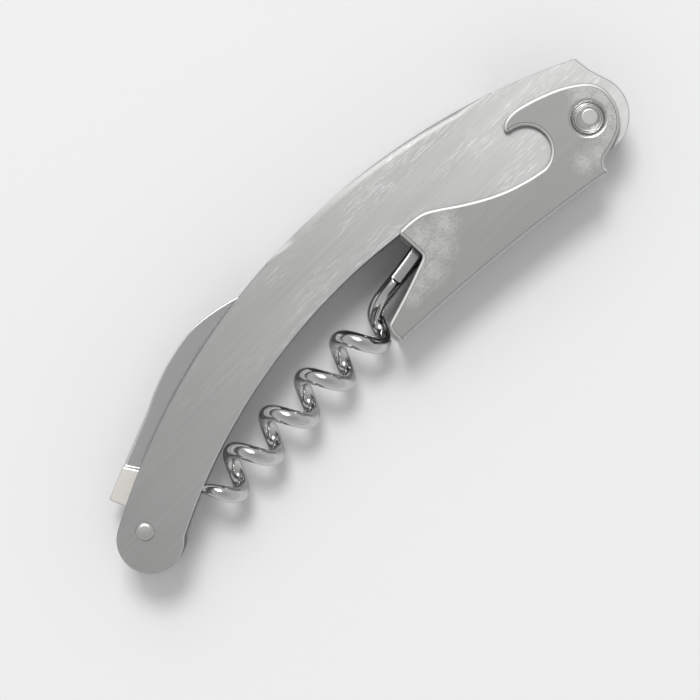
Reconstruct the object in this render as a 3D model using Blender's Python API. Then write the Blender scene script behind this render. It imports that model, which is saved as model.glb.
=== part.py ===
"""A folding corkscrew of the waiter's kind, all of stainless steel.

The handle is one sheet folded into a channel along its arched back. The lever is a second folded sheet that
straddles the handle's end. The worm and the foil knife fold into the channel. Rivets join them.

Units are metres. The corkscrew lies folded on its side. The origin is on the surface it lies on, below the
middle of its box. +X runs along the handle from the knife end to the lever's end, +Y points to the arched
back, and +Z up out of the side that faces the viewer. Shapes are drawn in a plane through the middle of the
sheets, from the lever's pivot.
"""

from math import acos, atan2, cos, pi, radians, sin

import bmesh
import bpy
from mathutils import Vector

MM = 0.001

# Sheets, clearances and the overrun of every cutter
HANDLE_SHEET = 1.0 * MM
LEVER_SHEET = 1.0 * MM
FOLD_ROUND = 1.3 * MM
PLATE_GAP = 0.3 * MM
SEAT_GAP = 0.2 * MM
PIN_GAP = 0.12 * MM
OVERRUN = 3.0 * MM
WELD = 0.001 * MM

# Worm: a wire with a ground point, a coil, an offset shank and a drilled eye
WIRE = 3.0 * MM
WORM_OUTSIDE = 9.1 * MM
WORM_SIDE_GAP = 0.25 * MM
WORM_PITCH = 9.2 * MM
WORM_TURNS = 4.47
WORM_TILT = radians(1.3)
WORM_LEAN = 0.2 * MM
WORM_POINT = 0.5 * MM
WORM_POINT_TURNS = 0.65
WORM_POINT_INSET = 0.7 * MM
WORM_LEAVE = radians(100)
WORM_BEND_RUN = 8.5 * MM
WORM_AXIS_DROP = 4.7 * MM
WORM_PIN_REACH = 31.5 * MM
WORM_PIN_RISE = 5.2 * MM
SHANK_SLOPE = radians(6.8)
SHANK_FLAT_share = 0.93
SHANK_RUN_OUT = 1.6 * MM
SHANK_IN_EYE_share = 0.6
EYE_THICKNESS = 1.8 * MM
EYE_STEP = 0.1 * MM
EYE_WALL = 1.7 * MM
WORM_PIN_RADIUS = 1.5 * MM
WORM_PIN_FLARE = 0.6 * MM
WORM_PIN_SINK = 0.05 * MM

# Lever: reach from its pivot to the foot, head and cap-lifter hook
LEVER_REACH = 51.2 * MM
WEB_TO_WIRE = 1.2 * MM
FOOT_DROP = 0.6 * MM
FOOT_HEEL_DROP = 3.7 * MM
HEEL_COVER = 1.0 * MM
HEEL_ROUND = 1.0 * MM
HEEL_TOP = 9.4 * MM
HEEL_FOOT = 3.6 * MM
WEB_BOW_RADIUS = 350 * MM
WEB_NEAR = 4.1 * MM
WEB_SWING_GAP = 1.3 * MM
HOOK_HEIGHT = 10.2 * MM
SCOOP_RADIUS = 4.45 * MM
SCOOP_REACH = 11.8 * MM
SCOOP_RISE = 3.65 * MM
LEVER_RIVET_RADIUS = 1.7 * MM
LEVER_HEAD_RADIUS = 2.4 * MM
LEVER_HEAD_STEP = 0.3 * MM
LEVER_BOSS_RADIUS = 2.05 * MM
LEVER_BOSS_TOP = 1.35 * MM
LEVER_BOSS_HEIGHT = 0.75 * MM
DISH_DEPTH = 0.5 * MM
DISH_FLOOR_GAP = 0.35 * MM
DISH_FLARE = 0.7 * MM

# Handle: arched channel between the lever's pivot and the knife's rivet
ARCH_RADIUS = 126.3 * MM
HANDLE_WIDTH = 12.35 * MM
HANDLE_TAPER = (2.5 * MM, 2.95 * MM)
HEAD_RADIUS = 7.2 * MM
HEAD_SHIFT = (0.6 * MM, 0.2 * MM)
HEAD_CORNER = (5.95 * MM, 9.05 * MM)
HEAD_CORNER_ROUND = 0.6 * MM
HEAD_SLOT = 9.0 * MM
END_RADIUS = 6.0 * MM
LOBE_WALL = 3.7 * MM

# Knife: flat stock, ground from the cutting edge towards the back
KNIFE_TO_POINT = 11.9 * MM
KNIFE_PIN_RISE = 3.7 * MM
KNIFE_PIN_SHIFT = (0.4 * MM, 1.75 * MM)
KNIFE_LENGTH = 45.4 * MM
KNIFE_CROWN = 19.7 * MM
KNIFE_TIP_GAP = 3.0 * MM
KNIFE_STOCK = 1.6 * MM
KNIFE_EDGE = 0.3 * MM
KNIFE_BOSS = 4.0 * MM
GRIND_START = 11.0 * MM
GRIND_HEIGHT = 3.3 * MM
GRIND_WIDTH = 12.5 * MM
GRIND_SLOPE = radians(16.5)
GRIND_SLANT = 0.3
KNIFE_RIVET_RADIUS = 1.25 * MM
KNIFE_HEAD_RADIUS = 1.65 * MM
KNIFE_HEAD_HEIGHT = 0.5 * MM
SPACER_WALL = 1.2 * MM

# Faces per curve
ARC_STEPS = 16
CURVE_STEPS = 4
ROUND_SIDES = 32
FOLD_STEPS = 4
WIRE_SIDES = 14
STEPS_PER_TURN = 24
SHANK_STEPS = 10
SHARP_ANGLE = radians(35)

# The hook's back from the web to the hook's tip, in shares of HOOK_HEIGHT
HOOK_BACK_shares = (
    (-0.265, -0.681),
    (0.0, -0.623),
    (0.294, -0.490),
    (0.500, -0.216),
    (0.560, 0.049),
    (0.535, 0.255),
    (0.436, 0.420),
    (0.255, 0.573),
    (0.0, 0.725),
    (-0.343, 0.868),
    (-0.686, 0.971),
    (-0.882, 1.0),
    (-1.059, 0.971),
    (-1.160, 0.900),
    (-1.192, 0.828),
)

# The lever's upper edge from the scoop to the heel, in shares of its run and of its rise
UPPER_EDGE_shares = (
    (0.11, 0.055),
    (0.27, 0.180),
    (0.42, 0.355),
    (0.57, 0.580),
    (0.70, 0.805),
    (0.80, 0.945),
    (0.91, 0.995),
)

# The lever's corners, in shares of HEEL_ROUND: the heel's top and its foot, the foot's top, then the web's end
# with the share of the way to the hook's back first
HEEL_TOP_shares = ((0.15, 0.0), (-0.35, -0.25), (-0.2, -1.0))
HEEL_FOOT_shares = ((0.0, 1.0), (0.0, 0.0), (-0.55, -0.5))
NOTCH_SAG_share = 0.15
FOOT_TOP_shares = ((0.6, 0.0), (0.2, -0.8))
WEB_END_shares = ((0.25, -0.2, 0.5), (0.6, -0.2, 0.4))

# The knife's back from its tip to the tang, in shares of KNIFE_LENGTH and of KNIFE_CROWN
KNIFE_BACK_shares = (
    (1.0, 0.736),
    (0.965, 0.825),
    (0.915, 0.898),
    (0.850, 0.945),
    (0.764, 0.985),
    (0.676, 1.0),
    (0.586, 0.970),
    (0.498, 0.919),
    (0.407, 0.843),
    (0.319, 0.751),
    (0.229, 0.670),
    (0.141, 0.588),
    (0.051, 0.506),
    (0.004, 0.459),
)

# The tang's square end below its back, then the cutting edge from the heel to the tip, in the same shares
KNIFE_TANG_shares = (
    (-0.014, 0.448),
    (-0.022, 0.428),
    (-0.018, 0.405),
    (0.002, 0.294),
    (-0.010, 0.240),
)
KNIFE_EDGE_shares = (
    (0.110, 0.020),
    (0.150, 0.103),
    (0.262, 0.183),
    (0.482, 0.330),
    (0.703, 0.467),
    (0.890, 0.596),
    (0.965, 0.670),
)

# Half widths of the two channels, from the sheets and the gaps
HANDLE_INNER = WORM_OUTSIDE / 2 + WORM_SIDE_GAP
HANDLE_OUTER = HANDLE_INNER + HANDLE_SHEET
LEVER_INNER = HANDLE_OUTER + PLATE_GAP
LEVER_OUTER = LEVER_INNER + LEVER_SHEET

# Places that follow from the sizes, seen from the lever's pivot
WORM_PIN = Vector((-WORM_PIN_REACH, WORM_PIN_RISE))
COIL_END = Vector((-LEVER_REACH - WEB_TO_WIRE - WIRE / 2, WORM_PIN_RISE - WORM_AXIS_DROP))
WORM_TIP_X = COIL_END.x - WORM_TURNS * WORM_PITCH
KNIFE_PIN = Vector((WORM_TIP_X - KNIFE_TO_POINT, KNIFE_PIN_RISE))
END_CENTRE = KNIFE_PIN - Vector(KNIFE_PIN_SHIFT)
HEAD_CENTRE = Vector(HEAD_SHIFT)
LOBE_RADIUS = WORM_PIN_RADIUS + LOBE_WALL
WEB_DEPTH = HEAD_RADIUS - HEAD_CENTRE.y + WEB_SWING_GAP + LEVER_SHEET
FOOT_DEPTH = WORM_OUTSIDE / 2 - COIL_END.y + FOOT_DROP
HEEL_REACH = WORM_PIN_REACH + LOBE_RADIUS + HEEL_COVER
RIVET_SEAT = LEVER_OUTER - DISH_DEPTH
RIVET_TOP = RIVET_SEAT + LEVER_HEAD_STEP + LEVER_BOSS_HEIGHT


def on_circle(centre, radius, angle):
    return Vector((centre.x + radius * cos(angle), centre.y + radius * sin(angle)))


def arc(centre, radius, start, end, steps=ARC_STEPS):
    return [on_circle(centre, radius, start + (end - start) * i / steps) for i in range(steps + 1)]


def bearing(centre, point):
    return atan2(point.y - centre.y, point.x - centre.x)


def meeting(centre_a, radius_a, centre_b, radius_b, side):
    """The point where two circles meet: side 1 is left of the way from a to b, -1 is right of it."""
    span = (centre_b - centre_a).length
    along = (span**2 + radius_a**2 - radius_b**2) / (2 * span)
    turn = acos(along / radius_a)
    return on_circle(centre_a, radius_a, bearing(centre_a, centre_b) + side * turn)


def touching(point, centre, radius, side):
    """The bearing at which a line from the point touches the circle."""
    return bearing(centre, point) + side * acos(radius / (point - centre).length)


def smooth(points, steps=CURVE_STEPS):
    """A Catmull-Rom curve through the points, without its last point."""
    curve = []
    for i in range(len(points) - 1):
        before = points[max(i - 1, 0)]
        after = points[min(i + 2, len(points) - 1)]
        lead = (points[i + 1] - before) / 2
        trail = (after - points[i]) / 2
        for step in range(steps):
            t = step / steps
            curve.append(
                points[i] * (2 * t**3 - 3 * t**2 + 1)
                + lead * (t**3 - 2 * t**2 + t)
                + points[i + 1] * (3 * t**2 - 2 * t**3)
                + trail * (t**3 - t**2)
            )
    return curve


def scaled(shares, length, height):
    return [Vector((share[0] * length, share[1] * height)) for share in shares]


def steel(name, grey, roughness):
    material = bpy.data.materials.new(name)
    material.use_nodes = True
    shader = material.node_tree.nodes["Principled BSDF"]
    shader.inputs["Base Color"].default_value = (grey, grey, grey * 0.985, 1)
    shader.inputs["Metallic"].default_value = 1
    shader.inputs["Roughness"].default_value = roughness
    material.diffuse_color = (grey, grey, grey, 1)
    return material


def pivot(name, place, carrier):
    """An empty on a joint's axis, which carries the pieces that turn about it."""
    empty = bpy.data.objects.new(name, None)
    empty.location = (place.x, place.y, 0)
    empty.parent = carrier
    bpy.context.scene.collection.objects.link(empty)
    return empty


def make(name, mesh_data, carrier, centre, material):
    """Turns the faces outwards, moves the shape so that its origin is at the centre, and hangs it on its empty."""
    bmesh.ops.recalc_face_normals(mesh_data, faces=mesh_data.faces)
    bmesh.ops.translate(mesh_data, verts=mesh_data.verts, vec=(-centre.x, -centre.y, 0))
    mesh = bpy.data.meshes.new(name)
    mesh_data.to_mesh(mesh)
    mesh_data.free()
    mesh.shade_smooth()
    mesh.set_sharp_from_angle(angle=SHARP_ANGLE)
    piece = bpy.data.objects.new(name, mesh)
    piece.parent = carrier
    bpy.context.scene.collection.objects.link(piece)
    if material:
        mesh.materials.append(material)
    else:
        piece.hide_render = True
        piece.display_type = "WIRE"
    return piece


def prism(name, outline, low, high, carrier, centre, material=None):
    """A flat outline, raised from one height to another."""
    shape = bmesh.new()
    face = shape.faces.new([shape.verts.new((point.x, point.y, low)) for point in outline])
    raised = bmesh.ops.extrude_face_region(shape, geom=[face])["geom"]
    top = [part for part in raised if isinstance(part, bmesh.types.BMVert)]
    bmesh.ops.translate(shape, verts=top, vec=(0, 0, high - low))
    return make(name, shape, carrier, centre, material)


def turned(name, profile, place, carrier, centre, material=None):
    """A profile of radius and height pairs, spun about the upright line through the place."""
    shape = bmesh.new()
    verts = [shape.verts.new((radius, 0, height)) for radius, height in profile]
    closed = profile[0][0] > 0
    ends = verts[1:] + verts[:1] if closed else verts[1:]
    for start, end in zip(verts, ends):
        shape.edges.new((start, end))
    bmesh.ops.spin(
        shape,
        geom=shape.verts[:] + shape.edges[:],
        cent=(0, 0, 0),
        axis=(0, 0, 1),
        angle=2 * pi,
        steps=ROUND_SIDES,
    )
    bmesh.ops.remove_doubles(shape, verts=shape.verts, dist=WELD)
    bmesh.ops.translate(shape, verts=shape.verts, vec=(place.x, place.y, 0))
    return make(name, shape, carrier, centre, material)


def lofted(name, rings, carrier, centre, material=None):
    """Closed rings of points joined one to the next, with both ends capped."""
    shape = bmesh.new()
    rows = [[shape.verts.new(point) for point in ring] for ring in rings]
    count = len(rows[0])
    for row, following in zip(rows, rows[1:]):
        for i in range(count):
            j = (i + 1) % count
            shape.faces.new((row[i], row[j], following[j], following[i]))
    shape.faces.new(rows[0])
    shape.faces.new(rows[-1])
    return make(name, shape, carrier, centre, material)


def combine(piece, tool, operation="DIFFERENCE"):
    modifier = piece.modifiers.new(tool.name, "BOOLEAN")
    modifier.operation = operation
    modifier.solver = "EXACT"
    modifier.object = tool


def round_fold(piece, name, path, outward, half_width, carrier, centre):
    """Rounds the two long corners of a fold: a square corner less a quarter circle, carried along the fold."""
    quarter = [radians(90) * i / FOLD_STEPS for i in range(FOLD_STEPS + 1)]
    for side in (1, -1):
        section = [(-FOLD_ROUND + FOLD_ROUND * cos(a), half_width - FOLD_ROUND + FOLD_ROUND * sin(a)) for a in quarter]
        section += [
            (-FOLD_ROUND, half_width + OVERRUN),
            (OVERRUN, half_width + OVERRUN),
            (OVERRUN, half_width - FOLD_ROUND),
        ]
        rings = [
            [(point.x + away.x * out, point.y + away.y * out, side * height) for out, height in section]
            for point, away in zip(path, outward)
        ]
        combine(piece, lofted(f"{name}_{side}", rings, carrier, centre))


def handle_channel(carrier, material):
    """One sheet folded along the arch, open at the knife's slot, at the lever's end and all along the hollow side."""
    corner = Vector(HEAD_CORNER)
    arch = meeting(corner, ARCH_RADIUS, END_CENTRE, ARCH_RADIUS - END_RADIUS, 1)
    hollow = arch + Vector((-HANDLE_TAPER[0], HANDLE_TAPER[1]))
    hollow_radius = ARCH_RADIUS - HANDLE_WIDTH - HANDLE_TAPER[1]
    web_left = KNIFE_PIN.x + KNIFE_LENGTH + KNIFE_TIP_GAP

    corner_bearing = bearing(arch, corner) + HEAD_CORNER_ROUND / ARCH_RADIUS
    web_right_bearing = acos((-HEAD_SLOT - arch.x) / ARCH_RADIUS)
    web_left_bearing = acos((web_left - arch.x) / ARCH_RADIUS)
    end_bearing = bearing(arch, END_CENTRE)
    fold = arc(arch, ARCH_RADIUS, web_right_bearing, web_left_bearing)

    end_foot = meeting(END_CENTRE, END_RADIUS, hollow, hollow_radius, 1)
    lobe_side = touching(hollow, WORM_PIN, LOBE_RADIUS, -1)
    neck_bearing = bearing(hollow, on_circle(WORM_PIN, LOBE_RADIUS, lobe_side))
    lower = bearing(HEAD_CENTRE, WORM_PIN) + acos((HEAD_RADIUS - LOBE_RADIUS) / (WORM_PIN - HEAD_CENTRE).length)
    head_end = touching(corner, HEAD_CENTRE, HEAD_RADIUS, -1)
    head_touch = on_circle(HEAD_CENTRE, HEAD_RADIUS, head_end)
    corner_start = corner + (head_touch - corner).normalized() * HEAD_CORNER_ROUND
    corner_end = on_circle(arch, ARCH_RADIUS, corner_bearing)

    outline = [corner_start, (corner_start + corner_end + corner * 2) / 4]
    outline += arc(arch, ARCH_RADIUS, corner_bearing, web_right_bearing, ARC_STEPS // 3)[:-1]
    outline += fold[:-1]
    outline += arc(arch, ARCH_RADIUS, web_left_bearing, end_bearing)[:-1]
    outline += arc(END_CENTRE, END_RADIUS, end_bearing, bearing(END_CENTRE, end_foot) + 2 * pi)[:-1]
    outline += arc(hollow, hollow_radius, bearing(hollow, end_foot), neck_bearing, ARC_STEPS * 2)
    outline += arc(WORM_PIN, LOBE_RADIUS, lobe_side + 2 * pi, lower)
    outline += arc(HEAD_CENTRE, HEAD_RADIUS, lower, head_end + 2 * pi)
    channel = prism("handle_channel", outline, -HANDLE_OUTER, HANDLE_OUTER, carrier, Vector((0, 0)), material)

    inner_radius = ARCH_RADIUS - HANDLE_SHEET
    left = END_CENTRE.x - END_RADIUS - OVERRUN
    right = HEAD_CENTRE.x + HEAD_RADIUS + OVERRUN
    top = arch.y + ARCH_RADIUS + OVERRUN
    bottom = -WEB_DEPTH - OVERRUN
    inside = [Vector((left, bottom)), Vector((right, bottom)), Vector((right, top))]
    inside.append(Vector((on_circle(arch, ARCH_RADIUS, web_right_bearing).x, top)))
    inside += arc(arch, inner_radius, web_right_bearing, web_left_bearing)
    inside.append(Vector((on_circle(arch, ARCH_RADIUS, web_left_bearing).x, top)))
    inside.append(Vector((left, top)))
    combine(channel, prism("handle_inside", inside, -HANDLE_INNER, HANDLE_INNER, carrier, Vector((0, 0))))

    outward = [(point - arch).normalized() for point in fold]
    round_fold(channel, "handle_fold", fold, outward, HANDLE_OUTER, carrier, Vector((0, 0)))

    reach = HANDLE_OUTER + OVERRUN
    for name, place, radius in (
        ("lever_rivet_hole", Vector((0, 0)), LEVER_RIVET_RADIUS + PIN_GAP),
        ("knife_rivet_hole", KNIFE_PIN, KNIFE_RIVET_RADIUS + PIN_GAP),
    ):
        profile = [(0, -reach), (radius, -reach), (radius, reach), (0, reach)]
        combine(channel, turned(name, profile, place, carrier, Vector((0, 0))))
    sink = [(radius + PIN_GAP, height) for radius, height in flush_pin_side()]
    sink = [(sink[0][0], -reach)] + sink + [(sink[-1][0], reach)]
    profile = [(0, -reach)] + sink + [(0, reach)]
    combine(channel, turned("worm_pin_hole", profile, WORM_PIN, carrier, Vector((0, 0))))
    return channel


def flush_pin_side():
    """The side of the worm's pin, from its lower end to its upper end: straight, with a countersunk flare at each."""
    end = HANDLE_OUTER - WORM_PIN_SINK
    neck = end - WORM_PIN_FLARE
    wide = WORM_PIN_RADIUS + WORM_PIN_FLARE
    return [(wide, -end), (WORM_PIN_RADIUS, -neck), (WORM_PIN_RADIUS, neck), (wide, end)]


def near(corner, shares):
    """The points that round off a corner of the lever."""
    return [corner + Vector(share) * HEEL_ROUND for share in shares]


def lever_outline(bottom):
    """The lever's plate, counter-clockwise from the foot's lower corner."""
    hook = scaled(HOOK_BACK_shares, HOOK_HEIGHT, HOOK_HEIGHT)
    scoop = Vector((-SCOOP_REACH, SCOOP_RISE))
    start = bearing(scoop, hook[-1])
    edge_run = HEEL_REACH - SCOOP_REACH
    scoop_foot = SCOOP_RISE - SCOOP_RADIUS
    upper = [
        Vector((-SCOOP_REACH - x * edge_run, scoop_foot + y * (HEEL_TOP - scoop_foot)))
        for x, y in UPPER_EDGE_shares
    ]
    heel = near(Vector((-HEEL_REACH, HEEL_TOP)), HEEL_TOP_shares)
    heel += near(Vector((-HEEL_REACH, HEEL_FOOT)), HEEL_FOOT_shares)
    foot = near(Vector((-LEVER_REACH, -FOOT_DEPTH + FOOT_HEEL_DROP)), FOOT_TOP_shares)
    middle = (heel[-1] + foot[0]) / 2 + Vector((0, -HEEL_ROUND * NOTCH_SAG_share))
    web_end = bottom[-1]
    web_corner = [
        web_end + (hook[0] - web_end) * way + Vector((x, y)) * HEEL_ROUND for way, x, y in WEB_END_shares
    ]
    outline = bottom + web_corner + smooth(hook)
    outline += arc(scoop, SCOOP_RADIUS, start, -radians(90))
    outline += smooth(upper + [heel[0]])
    outline += heel + smooth([heel[-1], middle, foot[0]])[1:] + foot
    return outline


def lever_channel(carrier, material):
    """A sheet folded along its lower edge, whose plates carry the foot, the scoop and hook, and the dished holes."""
    foot = Vector((-LEVER_REACH, -FOOT_DEPTH))
    web_end = Vector((-WEB_NEAR, -WEB_DEPTH))
    half = (web_end - foot).length / 2
    across = (web_end - foot).normalized()
    inward = Vector((-across.y, across.x))
    bow = (foot + web_end) / 2 - inward * (WEB_BOW_RADIUS**2 - half**2) ** 0.5
    first = bearing(bow, foot)
    last = bearing(bow, web_end)
    bottom = arc(bow, WEB_BOW_RADIUS, first, last)
    plate = prism("lever_channel", lever_outline(bottom), -LEVER_OUTER, LEVER_OUTER, carrier, Vector((0, 0)), material)

    beyond = OVERRUN / WEB_BOW_RADIUS
    top = max(HOOK_HEIGHT, HEEL_TOP) + OVERRUN
    past_head = (WEB_NEAR + HEAD_RADIUS) / WEB_BOW_RADIUS
    inside = arc(bow, WEB_BOW_RADIUS + LEVER_SHEET, first + beyond, last - past_head)
    inside += [Vector((HEAD_RADIUS + OVERRUN, -WEB_DEPTH)), Vector((HEAD_RADIUS + OVERRUN, top))]
    inside.append(Vector((-LEVER_REACH - OVERRUN, top)))
    combine(plate, prism("lever_inside", inside, -LEVER_INNER, LEVER_INNER, carrier, Vector((0, 0))))

    fold = arc(bow, WEB_BOW_RADIUS, first + (first - last) / ARC_STEPS, last - (first - last) / ARC_STEPS, ARC_STEPS + 2)
    outward = [(bow - point).normalized() for point in fold]
    round_fold(plate, "lever_fold", fold, outward, LEVER_OUTER, carrier, Vector((0, 0)))

    hole = LEVER_RIVET_RADIUS + PIN_GAP
    floor = LEVER_HEAD_RADIUS + DISH_FLOOR_GAP
    rim = floor + DISH_FLARE
    rise = DISH_DEPTH + OVERRUN
    spread = floor + DISH_FLARE * rise / DISH_DEPTH
    side = [(hole, 0), (hole, RIVET_SEAT), (floor, RIVET_SEAT), (rim, LEVER_OUTER), (spread, RIVET_SEAT + rise)]
    profile = [(0, -RIVET_SEAT - rise)]
    profile += [(radius, -height) for radius, height in reversed(side[1:])]
    profile += side[1:] + [(0, RIVET_SEAT + rise)]
    combine(plate, turned("lever_dish", profile, Vector((0, 0)), carrier, Vector((0, 0))))
    return plate


def worm_path():
    """The wire's centre line as points with a wire radius: the ground point, the coil, the bend and the shank."""
    coil_radius = (WORM_OUTSIDE - WIRE) / 2
    along = Vector((cos(WORM_TILT), sin(WORM_TILT), 0))
    rise = Vector((-sin(WORM_TILT), cos(WORM_TILT), 0))
    start = Vector((COIL_END.x, COIL_END.y, 0))

    def coil(turn):
        """A point of the coil: turn is the angle past its last low crest."""
        ground = max(0, 1 - (turn / (2 * pi) + WORM_TURNS) / WORM_POINT_TURNS)
        radius = coil_radius - WORM_POINT_INSET * ground**2
        step = WORM_PITCH * turn / (2 * pi) - WORM_LEAN * (1 - cos(turn)) / 2
        return start + along * step - rise * radius * cos(turn) + Vector((0, 0, -radius * sin(turn)))

    first = -WORM_TURNS * 2 * pi
    count = round(STEPS_PER_TURN * (WORM_LEAVE - first) / (2 * pi))
    turns = [first + (WORM_LEAVE - first) * i / count for i in range(count + 1)]
    path = [coil(turn) for turn in turns]
    radii = []
    for turn in turns:
        ground = min(1, (turn / (2 * pi) + WORM_TURNS) / WORM_POINT_TURNS)
        radii.append((WORM_POINT + (WIRE - WORM_POINT) * sin(ground * pi / 2)) / 2)

    eye = Vector((WORM_PIN.x, WORM_PIN.y, 0))
    toward = Vector((cos(SHANK_SLOPE), sin(SHANK_SLOPE), 0))
    shank_length = (eye.x - COIL_END.x - WORM_BEND_RUN) / toward.x
    shank_start = eye - toward * shank_length
    leaving = (path[-1] - path[-2]).normalized()
    pull = (shank_start - path[-1]).length
    bend_start = path[-1]
    for step in range(1, SHANK_STEPS + 1):
        t = step / SHANK_STEPS
        path.append(
            bend_start * (2 * t**3 - 3 * t**2 + 1)
            + leaving * pull * (t**3 - 2 * t**2 + t)
            + shank_start * (3 * t**2 - 2 * t**3)
            + toward * pull * (t**3 - t**2)
        )
    shank_end = eye - toward * (WORM_PIN_RADIUS + PIN_GAP + EYE_WALL * (1 - SHANK_IN_EYE_share))
    bend_end = len(path) - 1
    for step in range(1, SHANK_STEPS + 1):
        path.append(shank_start + (shank_end - shank_start) * step / SHANK_STEPS)
    radii += [WIRE / 2] * (len(path) - len(radii))
    flat_start = shank_length * SHANK_FLAT_share
    return path, radii, eye, flat_start, bend_end


def least_gap(path, radii):
    """The least clear distance between two turns of the coil."""
    half_turn = STEPS_PER_TURN // 2
    gaps = [
        (path[i] - path[j]).length - radii[i] - radii[j]
        for i in range(len(path))
        for j in range(i + half_turn, len(path))
    ]
    return min(gaps)


def worm(carrier, material):
    """The wire, its flattened shank joined to the eye, and the hole for the pin."""
    path, radii, eye, flat_start, bend_end = worm_path()
    print(f"Least gap between the worm's turns: {least_gap(path, radii) / MM:.2f} mm")
    half_flat = (EYE_THICKNESS - EYE_STEP) / 2
    across = Vector((0, 0, 1)).cross(path[-1] - path[-2]).normalized()
    rings = []
    for i in range(len(path) - 1, -1, -1):
        behind = path[max(i - 1, 0)]
        ahead = path[min(i + 1, len(path) - 1)]
        tangent = (ahead - behind).normalized()
        across = (across - tangent * across.dot(tangent)).normalized()
        upward = tangent.cross(across)
        limit = WIRE
        if i >= bend_end:
            worked = (flat_start - (eye - path[i]).length) / SHANK_RUN_OUT
            worked = min(max(worked, 0), 1)
            limit = WIRE / 2 + (half_flat - WIRE / 2) * (1 - (1 - worked) ** 2)
        ring = []
        for side in range(WIRE_SIDES):
            angle = 2 * pi * (side + 0.5) / WIRE_SIDES
            lift = max(-limit, min(limit, radii[i] * sin(angle)))
            ring.append(path[i] + across * radii[i] * cos(angle) + upward * lift)
        rings.append(ring)
    wire = lofted("worm", rings, carrier, WORM_PIN, material)

    half_eye = EYE_THICKNESS / 2
    hole = WORM_PIN_RADIUS + PIN_GAP
    disc = [(0, -half_eye), (hole + EYE_WALL, -half_eye), (hole + EYE_WALL, half_eye), (0, half_eye)]
    combine(wire, turned("worm_eye", disc, WORM_PIN, carrier, WORM_PIN), "UNION")
    bore = [(0, -WIRE), (hole, -WIRE), (hole, WIRE), (0, WIRE)]
    combine(wire, turned("worm_eye_hole", bore, WORM_PIN, carrier, WORM_PIN))
    return wire


def knife_blade(carrier, material):
    """Flat stock with a square tang end and a boss round the rivet, ground to an edge on both sides."""
    back = scaled(KNIFE_BACK_shares, KNIFE_LENGTH, KNIFE_CROWN)
    tang = scaled(KNIFE_TANG_shares, KNIFE_LENGTH, KNIFE_CROWN)
    edge = scaled(KNIFE_EDGE_shares, KNIFE_LENGTH, KNIFE_CROWN)
    centre = Vector((0, 0))
    boss_start = touching(tang[-1], centre, KNIFE_BOSS, 1)
    boss_end = touching(edge[0], centre, KNIFE_BOSS, -1)
    outline = smooth(edge + back) + [back[-1]] + tang
    outline += arc(centre, KNIFE_BOSS, boss_start, boss_end + 2 * pi)
    outline = [point + KNIFE_PIN for point in outline]
    blade = prism("knife_blade", outline, -KNIFE_STOCK / 2, KNIFE_STOCK / 2, carrier, KNIFE_PIN, material)

    along = Vector((cos(GRIND_SLOPE), sin(GRIND_SLOPE)))
    towards_back = Vector((-along.y, along.x))
    heel = KNIFE_PIN + Vector((GRIND_START, GRIND_HEIGHT))
    below = -OVERRUN
    rise = (KNIFE_STOCK - KNIFE_EDGE) / (2 * GRIND_WIDTH)
    section = [
        (below, KNIFE_EDGE / 2 + rise * below),
        (GRIND_WIDTH, KNIFE_STOCK / 2),
        (GRIND_WIDTH, KNIFE_STOCK + OVERRUN),
        (below, KNIFE_STOCK + OVERRUN),
    ]
    for side in (1, -1):
        rings = []
        for reach in (0, KNIFE_LENGTH + OVERRUN):
            ring = []
            for height, depth in section:
                slant = -GRIND_SLANT * height if reach == 0 else 0
                place = heel + along * (reach + slant) + towards_back * height
                ring.append((place.x, place.y, side * depth))
            rings.append(ring)
        combine(blade, lofted(f"knife_grind_{side}", rings, carrier, KNIFE_PIN))

    hole = KNIFE_RIVET_RADIUS + PIN_GAP
    bore = [(0, -KNIFE_STOCK), (hole, -KNIFE_STOCK), (hole, KNIFE_STOCK), (0, KNIFE_STOCK)]
    combine(blade, turned("knife_hole", bore, KNIFE_PIN, carrier, KNIFE_PIN))
    return blade


def rivet(name, head, place, carrier, material):
    """A rivet whose two heads mirror each other: head runs from the shank's edge up to the axis."""
    profile = [(radius, -height) for radius, height in reversed(head)] + head
    return turned(name, profile, place, carrier, place, material)


def spacer(name, bore, low, high, place, carrier, material):
    """A short tube on a pin."""
    outside = bore + SPACER_WALL
    profile = [(bore, low), (outside, low), (outside, high), (bore, high)]
    return turned(name, profile, place, carrier, place, material)


def spacers(name, radius, thickness, place, carrier, material):
    """Two short tubes that keep what turns on a pin in the middle of the handle."""
    low = thickness / 2 + SEAT_GAP
    high = HANDLE_INNER - SEAT_GAP
    bore = radius + PIN_GAP
    spacer(f"{name}_front", bore, low, high, place, carrier, material)
    spacer(f"{name}_back", bore, -high, -low, place, carrier, material)


def head_curve(radius, low, high, flat):
    """The rounded side of a head: a quarter ellipse from its edge in to its flat top."""
    turns = [radians(90) * i / FOLD_STEPS for i in range(FOLD_STEPS + 1)]
    return [(flat + (radius - flat) * cos(a), low + (high - low) * sin(a)) for a in turns]


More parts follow.
